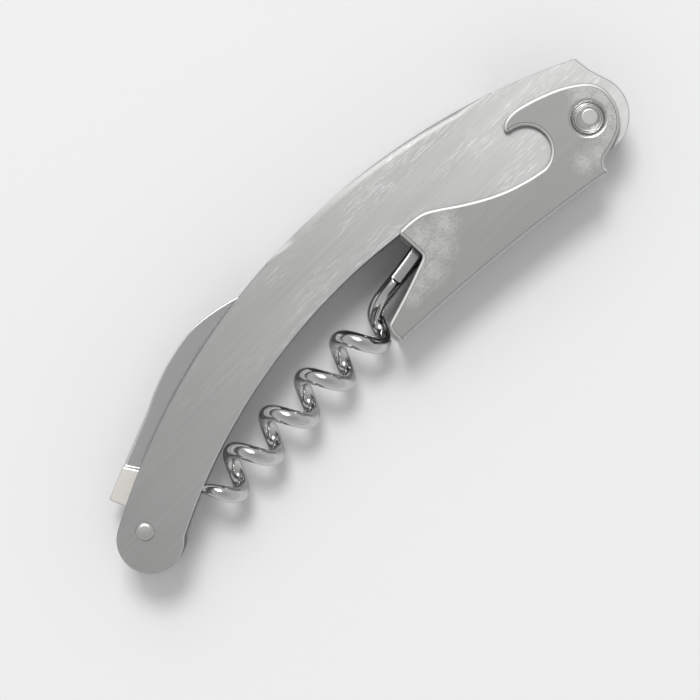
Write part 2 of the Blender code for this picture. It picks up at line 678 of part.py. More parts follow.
def build():
    for old in list(bpy.data.objects):
        bpy.data.objects.remove(old)

    middle = Vector(
        (
            (END_CENTRE.x - END_RADIUS + HEAD_CENTRE.x + HEAD_RADIUS) / 2,
            (KNIFE_PIN.y + KNIFE_CROWN - WEB_DEPTH) / 2,
        )
    )
    frame = bpy.data.objects.new("corkscrew_frame", None)
    frame.location = (-middle.x, -middle.y, RIVET_TOP)
    bpy.context.scene.collection.objects.link(frame)
    lever_axis = pivot("lever_axis", Vector((0, 0)), frame)
    worm_axis = pivot("worm_axis", WORM_PIN, frame)
    knife_axis = pivot("knife_axis", KNIFE_PIN, frame)

    handle_channel(frame, steel("brushed_handle_steel", 0.58, 0.38))
    lever_channel(lever_axis, steel("satin_lever_steel", 0.46, 0.42))
    worm(worm_axis, steel("polished_worm_steel", 0.62, 0.12))
    knife_blade(knife_axis, steel("ground_knife_steel", 0.45, 0.32))

    seat = RIVET_SEAT + SEAT_GAP / 2
    step = seat + LEVER_HEAD_STEP
    head = [(LEVER_RIVET_RADIUS, seat), (LEVER_HEAD_RADIUS, seat), (LEVER_HEAD_RADIUS, step)]
    head += head_curve(LEVER_BOSS_RADIUS, step, RIVET_TOP, LEVER_BOSS_TOP) + [(0, RIVET_TOP)]
    rivet("lever_rivet", head, Vector((0, 0)), lever_axis, steel("lever_rivet_steel", 0.55, 0.22))
    inner = HANDLE_INNER - SEAT_GAP
    bore = LEVER_RIVET_RADIUS + PIN_GAP
    spacer("lever_spacer", bore, -inner, inner, Vector((0, 0)), lever_axis, steel("lever_spacer_steel", 0.5, 0.4))

    pin = [(0, flush_pin_side()[0][1])] + flush_pin_side() + [(0, flush_pin_side()[-1][1])]
    turned("worm_pin", pin, WORM_PIN, worm_axis, WORM_PIN, steel("worm_pin_steel", 0.5, 0.35))
    spacers("worm_spacer", WORM_PIN_RADIUS, EYE_THICKNESS, WORM_PIN, worm_axis, steel("worm_spacer_steel", 0.5, 0.4))

    seat = HANDLE_OUTER + SEAT_GAP / 2
    top = seat + KNIFE_HEAD_HEIGHT
    head = [(KNIFE_RIVET_RADIUS, seat)] + head_curve(KNIFE_HEAD_RADIUS, seat, top, KNIFE_RIVET_RADIUS / 2)
    head += [(0, top)]
    rivet("knife_rivet", head, KNIFE_PIN, knife_axis, steel("knife_rivet_steel", 0.5, 0.28))
    spacers("knife_spacer", KNIFE_RIVET_RADIUS, KNIFE_STOCK, KNIFE_PIN, knife_axis, steel("knife_spacer_steel", 0.5, 0.4))


build()
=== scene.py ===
"""The looks of the folding corkscrew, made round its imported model.

Sizes are in millimetres, from the lever's pivot in the plane midway between the plates, along the axes of the
part. Flat shapes are drawn with complex numbers, x + 1j * y.
"""

import bmesh
import bpy
import numpy as np
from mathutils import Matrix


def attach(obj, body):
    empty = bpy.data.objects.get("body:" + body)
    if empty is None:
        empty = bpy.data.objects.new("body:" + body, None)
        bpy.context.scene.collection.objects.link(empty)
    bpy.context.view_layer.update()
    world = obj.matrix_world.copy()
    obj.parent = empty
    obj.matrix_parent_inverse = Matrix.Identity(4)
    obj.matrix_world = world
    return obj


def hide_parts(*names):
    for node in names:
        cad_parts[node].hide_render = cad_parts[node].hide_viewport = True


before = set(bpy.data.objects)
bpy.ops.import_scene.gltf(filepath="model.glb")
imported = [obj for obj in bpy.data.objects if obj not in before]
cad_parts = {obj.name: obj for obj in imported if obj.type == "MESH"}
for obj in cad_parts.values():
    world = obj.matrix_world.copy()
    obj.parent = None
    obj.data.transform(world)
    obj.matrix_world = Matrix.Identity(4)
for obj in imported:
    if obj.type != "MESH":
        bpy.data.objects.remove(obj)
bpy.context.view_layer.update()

# The photographer's table: pale card in a white tent, darker overhead and brighter before the table. A soft
# panel and a small lamp lean over from behind the arched back. The camera looks straight down from half a
# metre over the lever's plate, turned by 45 degrees.
PIVOT = np.array((52.762, -7.05, 7.65))
LEVER_FACE = 7.1
CAMERA_HEIGHT = 500
CAMERA_PLACE = (-58.6, 0.745)
PIXELS_PER_MM = 5.67
SENSOR = 36
PHOTO_WIDTH = 700
LIGHT_REACH = 2.6
LIGHT_BEARING = 57
CARD_HALF = 3
CARD_GREY = 0.82


def place_in_part(points):
    """Metres in the part's frame, from millimetres at the lever's pivot."""
    return (np.asarray(points, float) + PIVOT) / 1000


camera = bpy.data.objects.new("camera", bpy.data.cameras.new("camera"))
camera.location = place_in_part((*CAMERA_PLACE, LEVER_FACE + CAMERA_HEIGHT))
camera.rotation_euler = (0, 0, np.radians(-45))
camera.data.sensor_width = SENSOR
camera.data.lens = SENSOR * CAMERA_HEIGHT * PIXELS_PER_MM / PHOTO_WIDTH
camera.data.clip_end = 10
bpy.context.scene.collection.objects.link(camera)
bpy.context.scene.camera = camera
bpy.context.scene.view_settings.view_transform = "Standard"

for name, tilt, size, watts in (("soft_panel", 40, 1.6, 10), ("small_lamp", 28, 0.75, 29)):
    lamp = bpy.data.objects.new(name, bpy.data.lights.new(name, "AREA"))
    lamp.data.shape = "SQUARE"
    lamp.data.size = size
    lamp.data.energy = watts
    tilt, bearing = np.radians((tilt, LIGHT_BEARING))
    lamp.location = LIGHT_REACH * np.array(
        (np.sin(tilt) * np.cos(bearing), np.sin(tilt) * np.sin(bearing), np.cos(tilt))
    )
    lamp.rotation_euler = (0, tilt, bearing)
    bpy.context.scene.collection.objects.link(lamp)


def grey_ramp(tree, value, stops):
    """A smooth run of greys over a value, from pairs of position and grey."""
    ramp = tree.nodes.new("ShaderNodeValToRGB")
    ramp.color_ramp.interpolation = "B_SPLINE"
    ends = ramp.color_ramp.elements
    for _ in stops[2:]:
        ends.new(0.5)
    for end, (position, grey) in zip(ends, stops):
        end.position = position
        end.color = (grey, grey, grey, 1)
    tree.links.new(value, ramp.inputs[0])
    return ramp.outputs[0]


world = bpy.data.worlds.new("tent")
world.use_nodes = True
tent = world.node_tree
looking = tent.nodes.new("ShaderNodeTexCoord")
parts = tent.nodes.new("ShaderNodeSeparateXYZ")
tent.links.new(looking.outputs["Generated"], parts.inputs[0])
cloth = grey_ramp(tent, parts.outputs["Z"], [(0.0, 0.70), (0.5, 0.70), (0.8, 0.55), (1.0, 0.45)])
backwards = tent.nodes.new("ShaderNodeMapRange")
backwards.inputs["From Min"].default_value = -0.9
backwards.inputs["From Max"].default_value = 0.9
tent.links.new(parts.outputs["Y"], backwards.inputs["Value"])
facing = grey_ramp(tent, backwards.outputs[0], [(0.0, 1.4), (0.3, 1.3), (0.7, 0.9), (1.0, 0.9)])
low_down = tent.nodes.new("ShaderNodeMapRange")
low_down.inputs["From Min"].default_value = 0.85
low_down.inputs["From Max"].default_value = 0.4
tent.links.new(parts.outputs["Z"], low_down.inputs["Value"])
dimmed = tent.nodes.new("ShaderNodeMix")
dimmed.data_type = "RGBA"
dimmed.blend_type = "MULTIPLY"
tent.links.new(low_down.outputs[0], dimmed.inputs[0])
tent.links.new(cloth, dimmed.inputs[6])
tent.links.new(facing, dimmed.inputs[7])
tent.links.new(dimmed.outputs[2], tent.nodes["Background"].inputs["Color"])
tent.nodes["Background"].inputs["Strength"].default_value = 1.0
bpy.context.scene.world = world

card = bpy.data.meshes.new("card")
card_corners = [(x * CARD_HALF, y * CARD_HALF, 0) for x, y in ((-1, -1), (1, -1), (1, 1), (-1, 1))]
card.from_pydata(card_corners, [], [(0, 1, 2, 3)])
floor = bpy.data.objects.new("card", card)
bpy.context.scene.collection.objects.link(floor)
paper = bpy.data.materials.new("pale_card")
paper.use_nodes = True
paper_shader = paper.node_tree.nodes["Principled BSDF"]
paper_shader.inputs["Base Color"].default_value = (CARD_GREY, CARD_GREY, CARD_GREY, 1)
paper_shader.inputs["Roughness"].default_value = 1.0
paper_shader.inputs["Specular IOR Level"].default_value = 0.0
card.materials.append(paper)


# The handle: one stainless sheet of 1 mm, blanked, folded along its arched back into a channel, and brushed
# along its length. The back is left open at the knife's slot and at the lever's end.
SHEET = 1.0
HANDLE_EASE = 0.16
HANDLE_DRAWN = 0.15
FOLD_ROUND = 1.3
FOLD_STEPS = 10
EDGE_STEPS = 5
GROOVE_OUT = np.array((0.03, 0.07, 0.11))
GROOVE_DEPTH = 0.006
SLOPE_OUT = 0.13
FOLD_LEAD = (0.12, 0.06)
LEAST_BEND = 0.05
OUTLINE_STEP = 0.2
CORNER_SPREAD = 0.16
HOLE_SIDES = 96
SPLIT_REACH = 8
MARK_DEPTH = 0.00002
WELD = 0.0005


def sweep(centre, radius, start, end, step=OUTLINE_STEP):
    """Points on a circle from one bearing to another, in degrees."""
    count = max(3, int(abs(radius * np.radians(end - start)) / step))
    return centre + radius * np.exp(1j * np.radians(np.linspace(start, end, count)))


def evenly(line, count):
    """The line's points, moved along it until they are as many as asked and equally far apart."""
    run = np.concatenate(([0], np.cumsum(np.abs(np.diff(line)))))
    at = np.linspace(0, run[-1], count)
    return np.interp(at, run, line.real) + 1j * np.interp(at, run, line.imag)


def rounded(line, step=OUTLINE_STEP, spread=CORNER_SPREAD):
    """The open line in even steps, rounded: each point is the bell-weighted mean of its neighbours."""
    count = max(4, int(np.abs(np.diff(line)).sum() / step))
    line = evenly(line, count)
    reach = int(4 * spread / step) + 1
    away = np.arange(1, reach + 1)
    before = line[0] - (line[1] - line[0]) * away[::-1]
    after = line[-1] + (line[-1] - line[-2]) * away
    weights = np.exp(-((np.arange(-reach, reach + 1) * step / spread) ** 2) / 2)
    return np.convolve(np.concatenate((before, line, after)), weights / weights.sum(), "valid")


def out_of(line, closed=False):
    """The unit normals on the right of the way along the line."""
    way = np.roll(line, -1) - np.roll(line, 1) if closed else np.gradient(line)
    return -1j * way / np.abs(way)


def set_in(line, out, depth):
    """The line moved inwards by a depth, with the loops that this makes at sharp corners drawn tight."""
    inner = line - depth * out
    clear = np.abs(inner[:, None] - line).min(axis=1) > 0.97 * depth
    at = np.arange(len(line))
    return np.interp(at, at[clear], inner.real[clear]) + 1j * np.interp(at, at[clear], inner.imag[clear])


def solid(places, heights, body, name, slot, material, replaces, quads, rings=(), notes=None):
    """Makes a piece of flat places and heights with its faces, closes its seams and turns its faces outwards.

    notes holds attributes of the points by name: one number each, or three.
    """
    points = place_in_part(np.stack((places.real, places.imag, heights), axis=-1))
    mesh = bpy.data.meshes.new(name)
    mesh.from_pydata(points.tolist(), [], quads.tolist() + [list(ring) for ring in rings])
    for note, values in (notes or {}).items():
        kind, field = ("FLOAT", "value") if values.ndim == 1 else ("FLOAT_VECTOR", "vector")
        mesh.attributes.new(note, kind, "POINT").data.foreach_set(field, values.ravel())
    work = bmesh.new()
    work.from_mesh(mesh)
    bmesh.ops.remove_doubles(work, verts=work.verts, dist=WELD / 1000)
    bmesh.ops.dissolve_degenerate(work, edges=work.edges, dist=WELD / 1000)
    bmesh.ops.recalc_face_normals(work, faces=work.faces)
    work.to_mesh(mesh)
    work.free()
    corners = np.empty(len(mesh.polygons), int)
    mesh.polygons.foreach_get("loop_total", corners)
    mesh.polygons.foreach_set("use_smooth", corners <= 4)
    mesh.materials.append(material)
    piece = bpy.data.objects.new(name, mesh)
    bpy.context.scene.collection.objects.link(piece)
    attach(piece, body)
    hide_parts(*replaces)


def patch(grid, round_along=False):
    """The faces between the rows and columns of a grid of point numbers, closed along the rows if asked."""
    if round_along:
        grid = np.concatenate((grid, grid[:1]))
    return np.stack((grid[:-1, :-1], grid[1:, :-1], grid[1:, 1:], grid[:-1, 1:]), axis=-1).reshape(-1, 4)


def edge_section(ease, flat, roll):
    """A punched sheet edge, from face to face, in four rows.

    A fine groove, then a slope as wide as flat that the punch has drawn down by roll, then a quarter circle
    of radius ease, and the same in reverse on the inner face. The rows are how far out and how far below the
    outer face the points lie, 1 on the slope and the rounding, and 1 in the groove, where a dark line of
    shade is painted.
    """
    turn = np.radians(np.linspace(0, 90, EDGE_STEPS))
    slope = np.linspace(SLOPE_OUT, flat, EDGE_STEPS)[:-1]
    out = np.concatenate((GROOVE_OUT, slope, flat + ease * np.sin(turn)))
    sunk = np.array((0.6, 1.0, 0.6)) * GROOVE_DEPTH
    drawn_down = roll * (slope - GROOVE_OUT[0]) / flat
    deep = np.concatenate((sunk, drawn_down, roll + (ease - roll) * (1 - np.cos(turn))))
    worn = np.concatenate((0 * sunk, 0 * slope + 1, 0 * turn + 1))
    # 1 in the groove: the mask for a painted dark line of shade.
    painted_shade = np.concatenate((0 * sunk + 1, 0 * slope, 0 * turn))
    half = np.stack((out, deep, worn, painted_shade))
    other = half[:, ::-1].copy()
    other[1] = SHEET - other[1]
    return np.concatenate((half, other), axis=1)


def round_hole(border, spot, hole, centre, turned=0):
    """The flat between a border and a round hole, as two faces that meet above and below the hole.

    border and hole are point numbers, spot the border's places and centre the hole's. turned is by how many
    of the hole's points the line where they meet leans to the right.
    """
    up, down = HOLE_SIDES // 4 - turned, 3 * HOLE_SIDES // 4 - turned
    upright = (spot - centre) * np.exp(2j * np.pi * turned / HOLE_SIDES)
    aside = 9 * np.abs(upright.real)
    top, low = (np.argmin(np.abs(upright - way * SPLIT_REACH) + aside) for way in (1j, -1j))
    left = np.roll(border, -top)[: (low - top) % len(border) + 1]
    right = np.roll(border, -low)[: (top - low) % len(border) + 1]
    return [
        np.concatenate((left, hole[up : down + 1][::-1])),
        np.concatenate((right, np.roll(hole, -down)[: len(hole) - down + up + 1][::-1])),
    ]


def folded_sheet(edge, fold, outside, holes, rounds, ease, flat, roll, creased=False, **facts):
    """A channel: two mirrored plates with rounded edges and a hole each, joined by a fold with a web.

    edge runs round the plate from the fold's end to its start, and fold runs on along the web's outer line,
    both counter-clockwise. Each plate is the flat inside that loop. The fold's section is a quarter circle,
    the web and a quarter circle, carried along the fold, with the radius in rounds at each of its places. The
    edge's section is carried round everything that was cut, with a rounding of radius ease, over a width of
    flat and a depth of roll. Holes are turned sections of radius and depth under the outer face, round a
    centre. The note "rim" tells the worn edges from the plates. The note "groove" marks the fine lines beside
    them where a dark line of shade is painted, and creased adds such a painted line of shade at the fold.
    """
    inside = outside - SHEET
    edge_out = out_of(edge)
    edge_in = set_in(edge, edge_out, ease + flat)
    fold_out = out_of(fold)
    fold_way = fold_out * 1j

    turn = np.radians(np.linspace(0, 90, FOLD_STEPS))
    across = np.linspace(1, -1, 7)[1:-1]
    bends = rounds[:, None]
    inner_bends = np.maximum(bends - SHEET, LEAST_BEND)
    lead = np.array((flat, *FOLD_LEAD))
    around = np.exp(2j * np.pi * np.arange(HOLE_SIDES) / HOLE_SIDES)

    def fold_section(bend, drop, half):
        """How far out and how high the section's points lie, for a bend's radius, depth and half width."""
        rise = np.concatenate((-drop - bend - lead, bend * (np.sin(turn) - 1) - drop), axis=1)
        level = np.concatenate((half + 0 * bend * lead, half - bend + bend * np.cos(turn)), axis=1)
        web = (half - bend) * across
        return (
            np.concatenate((rise, 0 * web - drop, rise[:, ::-1]), axis=1),
            np.concatenate((level, web, -level[:, ::-1]), axis=1),
        )

    rise, level = fold_section(bends, 0, outside)
    inner_rise, inner_level = fold_section(inner_bends, SHEET, inside)

    places, heights, faces, rings = [], [], [], []

    def keep(place, height):
        """Adds a block of points and returns their numbers in the same layout."""
        first = sum(len(block) for block in places)
        place, height = np.broadcast_arrays(place, height)
        places.append(place.ravel())
        heights.append(height.ravel())
        return np.arange(first, first + place.size).reshape(place.shape)

    outer = keep(fold[:, None] + fold_out[:, None] * rise, level)
    inner = keep(fold[:, None] + fold_out[:, None] * inner_rise, inner_level)
    faces += [patch(outer), patch(inner)]

    rims = []
    for side, column in ((1, 0), (-1, -1)):
        for height, grid in ((side * outside, outer), (side * inside, inner)):
            ring = keep(edge_in, height)
            rims.append(ring)
            border = np.concatenate((ring, grid[:, column]))
            spot = np.concatenate((edge_in, fold - rounds * fold_out))
            for centre, section in holes:
                radius = section[0][0] if grid is outer else section[-1][0]
                hole = keep(centre + radius * around, height)
                rings += round_hole(border, spot, hole, centre)
                rims.append(hole)
    for centre, section in holes:
        for side, first, last in ((1, rims[1], rims[3]), (-1, rims[5], rims[7])):
            radii, depths = np.transpose(section[1:-1])
            middle = keep(centre + radii * around[:, None], side * (outside - depths))
            wall = np.concatenate((first[:, None], middle, last[:, None]), axis=1)
            faces.append(patch(wall, round_along=True))
    front_out, front_in, back_out, back_in = rims[:: 1 + len(holes)]

    loop_out = np.concatenate((front_out, outer[0], back_out[::-1], outer[-1][::-1]))
    loop_in = np.concatenate((front_in, inner[0], back_in[::-1], inner[-1][::-1]))
    count = outer.shape[1]
    way = np.concatenate(
        (edge_out, np.full(count, -fold_way[0]), edge_out[::-1], np.full(count, fold_way[-1]))
    )
    all_places = np.concatenate(places)
    all_heights = np.concatenate(heights)
    out, deep, worn, painted_shade = edge_section(ease, flat, roll)
    sink = (all_places[loop_in] - all_places[loop_out]) / SHEET
    drop = (all_heights[loop_in] - all_heights[loop_out]) / SHEET
    rim = keep(
        all_places[loop_out][:, None] + way[:, None] * out + sink[:, None] * deep,
        all_heights[loop_out][:, None] + drop[:, None] * deep,
    )
    faces.append(patch(np.concatenate((loop_out[:, None], rim, loop_in[:, None]), axis=1), round_along=True))
    wear = np.zeros(len(all_places) + rim.size)
    # The groove note: where a dark line of shade is painted, in the groove beside the edges and, if creased,
    # at the fold.
    painted_shade_lines = wear.copy()
    wear[rim] = worn
    painted_shade_lines[rim] = painted_shade
    painted_shade_lines[outer[:, (2, -3)]] = float(creased)
    solid(
        np.concatenate(places),
        np.concatenate(heights),
        quads=np.concatenate(faces),
        rings=rings,
        notes={"rim": wear, "groove": painted_shade_lines},
        **facts,
    )


def group_of(name, inputs, outputs):
    """An empty shader group with its sockets, and the nodes that stand for them."""
    group = bpy.data.node_groups.new(name, "ShaderNodeTree")
    for socket, kind, value in inputs:
        made = group.interface.new_socket(socket, in_out="INPUT", socket_type=kind)
        if value is not None:
            made.default_value = value
    for socket, kind in outputs:
        group.interface.new_socket(socket, in_out="OUTPUT", socket_type=kind)
    return group, group.nodes.new("NodeGroupInput"), group.nodes.new("NodeGroupOutput")


def noise(tree, place, scale, detail, roughness=0.55):
    """Noise whose grain is stretched: scale is how many grains a metre holds along x, y and z."""
    stretch = tree.nodes.new("ShaderNodeVectorMath")
    stretch.operation = "MULTIPLY"
    stretch.inputs[1].default_value = scale
    tree.links.new(place, stretch.inputs[0])
    texture = tree.nodes.new("ShaderNodeTexNoise")
    texture.inputs["Scale"].default_value = 1
    texture.inputs["Detail"].default_value = detail
    texture.inputs["Roughness"].default_value = roughness
    tree.links.new(stretch.outputs[0], texture.inputs["Vector"])
    return texture.outputs["Fac"]


def spread_to(tree, value, low, high, start=0.3, end=0.7):
    """The value from start to end, stretched to run from low to high."""
    node = tree.nodes.new("ShaderNodeMapRange")
    tree.links.new(value, node.inputs["Value"])
    node.inputs["From Min"].default_value = start
    node.inputs["From Max"].default_value = end
    for socket, bound in (("To Min", low), ("To Max", high)):
        if isinstance(bound, bpy.types.NodeSocket):
            tree.links.new(bound, node.inputs[socket])
        else:
            node.inputs[socket].default_value = bound
    return node.outputs[0]


def combine(tree, operation, first, second):
    """The outcome of an operation on two values, each a socket or a number."""
    node = tree.nodes.new("ShaderNodeMath")
    node.operation = operation
    for socket, value in zip(node.inputs, (first, second)):
        if isinstance(value, bpy.types.NodeSocket):
            tree.links.new(value, socket)
        else:
            socket.default_value = value
    return node.outputs[0]


brush_marks, marks_in, marks_out = group_of(
    "brush_marks",
    [("Place", "NodeSocketVector", None), ("Scratches", "NodeSocketFloat", 0.0)],
    [("Height", "NodeSocketFloat"), ("Shade", "NodeSocketFloat")],
)
place = marks_in.outputs["Place"]
lines = noise(brush_marks, place, (110, 9000, 9000), 3)
lines = combine(brush_marks, "ADD", lines, noise(brush_marks, place, (30, 2200, 2200), 2))
cloud = noise(brush_marks, place, (45, 160, 160), 2)
scratch = spread_to(brush_marks, noise(brush_marks, place, (420, 5600, 5600), 1), 0.0, 1.0, 0.58, 0.70)
where = spread_to(brush_marks, noise(brush_marks, place, (70, 240, 240), 1), 0.0, 1.0, 0.45, 0.62)
scratch = combine(brush_marks, "MULTIPLY", scratch, where)
scratch = combine(brush_marks, "MULTIPLY", scratch, marks_in.outputs["Scratches"])
brush_marks.links.new(combine(brush_marks, "ADD", lines, scratch), marks_out.inputs["Height"])
shade = combine(brush_marks, "MULTIPLY", lines, 0.35)
shade = combine(brush_marks, "ADD", shade, combine(brush_marks, "MULTIPLY", cloud, 0.3))
brush_marks.links.new(combine(brush_marks, "ADD", shade, scratch), marks_out.inputs["Shade"])


def steel(name, dark, light, rough, smooth, bump, turn=0.0, lay=None, drawn_out=0.0, scratches=None):
    """Stainless steel between two colours and roughnesses, with marks along x, turned by an angle in degrees.

    lay names the attribute that gives places along a bent piece instead of the object's own. drawn_out is how
    much the shine is spread across the marks. scratches tells how strong the scattered longer scratches are,
    where along x they begin and where they are full.
    """
    material = bpy.data.materials.new(name)
    material.use_nodes = True
    tree = material.node_tree
    shader = tree.nodes["Principled BSDF"]
    shader.inputs["Metallic"].default_value = 1.0
    if lay:
        here = tree.nodes.new("ShaderNodeAttribute")
        here.attribute_name = lay
    else:
        here = tree.nodes.new("ShaderNodeTexCoord")
    mapping = tree.nodes.new("ShaderNodeMapping")
    mapping.inputs["Rotation"].default_value = (0, 0, np.radians(turn))
    tree.links.new(here.outputs["Vector" if lay else "Object"], mapping.inputs["Vector"])
    marks = tree.nodes.new("ShaderNodeGroup")
    marks.node_tree = brush_marks
    if scratches:
        along = tree.nodes.new("ShaderNodeSeparateXYZ")
        tree.links.new(mapping.outputs[0], along.inputs[0])
        ends = [(PIVOT[0] + x) / 1000 for x in scratches[1:]]
        strength = spread_to(tree, along.outputs["X"], 0.0, scratches[0], *ends)
        tree.links.new(strength, marks.inputs["Scratches"])
    tree.links.new(mapping.outputs[0], marks.inputs["Place"])
    blend = tree.nodes.new("ShaderNodeMix")
    blend.data_type = "RGBA"
    blend.inputs[6].default_value = (*dark, 1)
    blend.inputs[7].default_value = (*light, 1)
    tree.links.new(marks.outputs["Shade"], blend.inputs[0])
    tree.links.new(blend.outputs[2], shader.inputs["Base Color"])
    tree.links.new(spread_to(tree, marks.outputs["Shade"], rough, smooth), shader.inputs["Roughness"])
    relief = tree.nodes.new("ShaderNodeBump")
    relief.inputs["Strength"].default_value = bump
    relief.inputs["Distance"].default_value = MARK_DEPTH
    tree.links.new(marks.outputs["Height"], relief.inputs["Height"])
    tree.links.new(relief.outputs["Normal"], shader.inputs["Normal"])
    if drawn_out:
        shader.inputs["Anisotropic"].default_value = drawn_out
        across = tree.nodes.new("ShaderNodeVectorTransform")
        across.vector_type = "VECTOR"
        across.convert_from = "OBJECT"
        across.convert_to = "WORLD"
        across.inputs[0].default_value = (np.sin(np.radians(turn)), np.cos(np.radians(turn)), 0)
        tree.links.new(across.outputs[0], shader.inputs["Tangent"])
    return material


def attribute(material, name):
    """The value that a piece's points carry under a name."""
    node = material.node_tree.nodes.new("ShaderNodeAttribute")
    node.attribute_name = name
    return node.outputs["Fac"]


def lay_over(material, mask, colour, rough):
    """Another colour and roughness over the material's own, as strong as the mask."""
    tree = material.node_tree
    shader = tree.nodes["Principled BSDF"]
    for socket, kind, first, second, value in (
        ("Base Color", "RGBA", 6, 7, (*colour, 1)), ("Roughness", "FLOAT", 2, 3, rough)
    ):
        blend = tree.nodes.new("ShaderNodeMix")
        blend.data_type = kind
        tree.links.new(mask, blend.inputs[0])
        tree.links.new(shader.inputs[socket].links[0].from_socket, blend.inputs[first])
        blend.inputs[second].default_value = value
        tree.links.new(blend.outputs[2 if kind == "RGBA" else 0], shader.inputs[socket])


ARCH = -50.3543 - 104.0054j
ARCH_RADIUS = 126.3
HOLLOW = -52.8543 - 101.0554j
HOLLOW_RADIUS = 111.0
KNIFE_END = -107.324 + 1.95j
KNIFE_END_RADIUS = 6.0
WORM_PIN = -31.5 + 5.2j
LOBE_RADIUS = 5.2
HEAD = 0.6 + 0.2j
HEAD_RADIUS = 7.2
HEAD_CORNER = 5.95 + 9.05j
HEAD_NOTCH = 6.38 + 5.75j
HANDLE_FACE = 5.8
HEAD_END = 16.5
WEB_ENDS = (-9.0, -58.52)
FOLD_FADE = 7.0


def bearing(place, centre):
    """The bearing of a place from a centre, in degrees from 0 to 360."""
    return np.degrees(np.angle(place - centre)) % 360


def crossing(centre, radius, other, other_radius):
    """The place on the right of the way from one circle's centre to another's where the two circles cross."""
    between = other - centre
    ahead = (radius**2 - other_radius**2 + abs(between) ** 2) / (2 * abs(between))
    return centre + (ahead - 1j * np.sqrt(radius**2 - ahead**2)) * between / abs(between)


def bearings_over(ends, centre, radius):
    """The bearings in degrees of the places on a circle's upper half at two distances along x."""
    return np.degrees(np.arccos((np.array(ends) - centre.real) / radius))


web_bearings = bearings_over(WEB_ENDS, ARCH, ARCH_RADIUS)
arch_end = bearing(KNIFE_END, ARCH)
hollow_start = crossing(HOLLOW, HOLLOW_RADIUS, KNIFE_END, KNIFE_END_RADIUS)
hollow_end = bearing(WORM_PIN, HOLLOW) + np.degrees(np.arcsin(LOBE_RADIUS / abs(WORM_PIN - HOLLOW)))
closer = np.degrees(np.arcsin((HEAD_RADIUS - LOBE_RADIUS) / abs(HEAD - WORM_PIN)))
lobe_end = bearing(HEAD, WORM_PIN) - 90 - closer
handle_edge = np.concatenate(
    (
        sweep(ARCH, ARCH_RADIUS, web_bearings[1], arch_end),
        sweep(KNIFE_END, KNIFE_END_RADIUS, arch_end, bearing(hollow_start, KNIFE_END)),
        sweep(HOLLOW, HOLLOW_RADIUS, bearing(hollow_start, HOLLOW), hollow_end),
        sweep(WORM_PIN, LOBE_RADIUS, hollow_end + 90, lobe_end),
        sweep(HEAD, HEAD_RADIUS, lobe_end, HEAD_END + 360),
        [HEAD_NOTCH, HEAD_CORNER],
        sweep(ARCH, ARCH_RADIUS, bearing(HEAD_CORNER, ARCH), web_bearings[0]),
    )
)
handle_fold = sweep(ARCH, ARCH_RADIUS, *web_bearings, step=0.5)
to_end = np.minimum(np.abs(handle_fold - handle_fold[0]), np.abs(handle_fold - handle_fold[-1]))
fade = np.clip(to_end / FOLD_FADE, 0, 1)
handle_rounds = HANDLE_EASE + (FOLD_ROUND - HANDLE_EASE) * fade**2 * (3 - 2 * fade)
WORM_PIN_SEAT = [
    (2.4, 0), (2.3, 0), (2.22, 0.05), (1.68, 0.6), (1.62, 0.7), (1.62, 0.95), (1.72, 1.0), (1.8, 1.0)
]
handle_steel = steel(
    "brushed_handle",
    (0.40, 0.40, 0.395),
    (0.57, 0.57, 0.565),
    0.58,
    0.52,
    0.35,
    drawn_out=0.88,
    scratches=(1.3, -95, -45),
)
folded_sheet(
    rounded(handle_edge),
    handle_fold,
    HANDLE_FACE,
    [(WORM_PIN, WORM_PIN_SEAT)],
    handle_rounds,
    HANDLE_EASE,
    HANDLE_DRAWN,
    0.0,
    name="handle",
    body="handle",
    slot="handle_steel",
    material=handle_steel,
    replaces=["handle_channel"],
)

# The lever: a second folded sheet round the handle's end, tumbled to a satin finish. Its plates carry the
# foot, the cap lifter's hook and, round the rivet, a turned dish.
LEVER_HOOK = 10.2
hook_back = LEVER_HOOK * np.array(
    [
        -0.265 - 0.681j,
        -0.623j,
        0.294 - 0.490j,
        0.500 - 0.216j,
        0.560 + 0.049j,
        0.535 + 0.255j,
        0.436 + 0.420j,
        0.255 + 0.573j,
        0.725j,
        -0.343 + 0.868j,
        -0.686 + 0.971j,
        -0.882 + 1.0j,
        -1.059 + 0.971j,
        -1.160 + 0.900j,
        -1.192 + 0.828j,
    ]
)
SCOOP = -11.8 + 3.65j
SCOOP_RADIUS = 4.45
HEEL = -37.7
HEEL_TOP = 9.4
SCOOP_FOOT = -0.8
upper_run = np.array((0.11, 0.27, 0.42, 0.57, 0.70, 0.80, 0.91)) * (HEEL + 11.8) - 11.8
upper_rise = np.array((0.055, 0.180, 0.355, 0.580, 0.805, 0.945, 0.995))
upper_rise = upper_rise * (HEEL_TOP - SCOOP_FOOT) + SCOOP_FOOT
BOW = -61.9583 - 354.4846j
BOW_RADIUS = 350
LEVER_WEB_ENDS = (-51.2, -4.1)


def curve(points, steps=12):
    """A Catmull-Rom curve: each stretch is a cubic whose ends lie along the line between their neighbours."""
    before = np.concatenate((points[:1], points[:-1]))[:-1]
    after = np.concatenate((points[2:], points[-1:]))
    lead = (points[1:] - before) / 2
    trail = (after - points[:-1]) / 2
    t = np.arange(steps)[:, None] / steps
    stretch = (
        points[:-1] * (2 * t**3 - 3 * t**2 + 1)
        + lead * (t**3 - 2 * t**2 + t)
        + points[1:] * (3 * t**2 - 2 * t**3)
        + trail * (t**3 - t**2)
    )
    return np.append(stretch.T.ravel(), points[-1])


